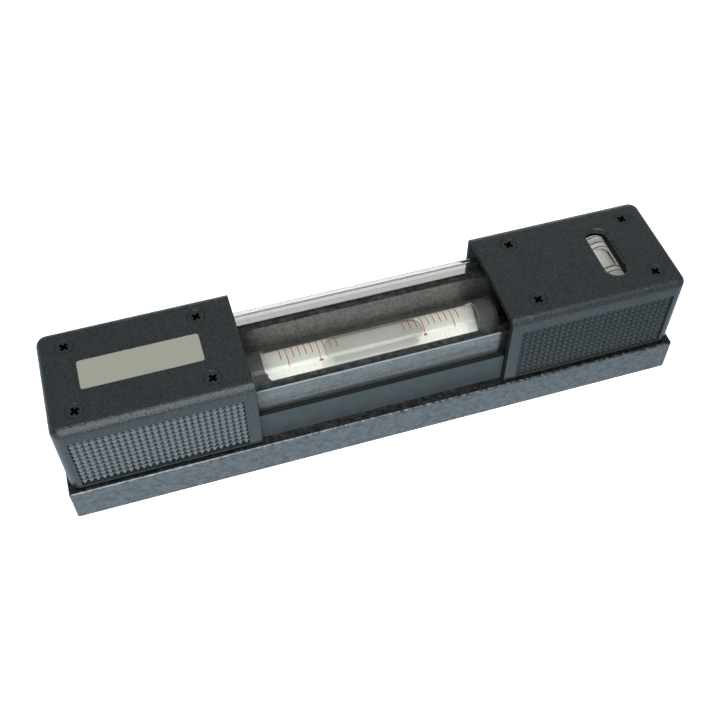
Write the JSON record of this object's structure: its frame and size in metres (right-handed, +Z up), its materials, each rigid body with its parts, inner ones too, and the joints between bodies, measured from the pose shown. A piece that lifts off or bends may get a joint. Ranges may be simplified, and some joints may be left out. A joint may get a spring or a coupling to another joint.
{
  "type": "machinist level",
  "caption": "Long horizontal precision spirit level: cast base with a prismatic sole, diamond-sided grip covers, main vial under a clear cover and a small cross vial under a slot.",
  "frame": {"origin": "centre of the sole, on the surface that the level stands on", "axes": "+X along the level towards the cross vial, -Y towards the front, +Z up"},
  "size_m": [0.2, 0.041, 0.0422],
  "materials": {
    "hammer_cast": "cast iron with grey hammer-finish paint, ground sole",
    "cover_plastic": "fine-grained dark grey moulding",
    "strip_plastic": "smooth dark grey moulding",
    "black_steel": "blackened steel",
    "plate_metal": "satin anodised plate",
    "clear_plastic": "clear polished plastic",
    "holder_paint": "dark satin paint outside, white inside",
    "bright_steel": "turned steel",
    "vial_glass": "clear glass",
    "vial_liquid": "clear liquid",
    "bubble_air": "air",
    "bed_paint": "dark paint"
  },
  "bodies": {
    "level": {"base_body": "hammer_cast", "left_cover": "cover_plastic", "right_cover": "cover_plastic", "left_cover_screws": "black_steel", "right_cover_screws": "black_steel", "name_plate": "plate_metal", "side_strip_front": "strip_plastic", "side_strip_rear": "strip_plastic", "clear_cover": "clear_plastic", "vial_holder": "holder_paint", "pivot_plug": "holder_paint", "pivot_pin": "bright_steel", "adjusting_plug": "holder_paint", "adjusting_stud": "bright_steel", "adjusting_nuts": "bright_steel", "main_vial": "vial_glass", "main_liquid": "vial_liquid", "cross_vial_bed": "bed_paint", "cross_bed_screws": "bright_steel", "cross_vial": "vial_glass", "cross_liquid": "vial_liquid"},
    "main_air": {"main_bubble": "bubble_air"},
    "cross_air": {"cross_bubble": "bubble_air"}
  },
  "joints": [
    {"name": "main_bubble_slide", "type": "slide", "parent": "level", "child": "main_air", "axis": [1, 0, 0], "range_m": [-0.0155, 0.0135], "stiffness_N_per_m": 0.5, "deforming": ["main_liquid"]},
    {"name": "cross_bubble_slide", "type": "slide", "parent": "level", "child": "cross_air", "axis": [0, 1, 0], "range_m": [-0.0038, 0.0038], "stiffness_N_per_m": 0.5, "deforming": ["cross_liquid"]}
  ]
}
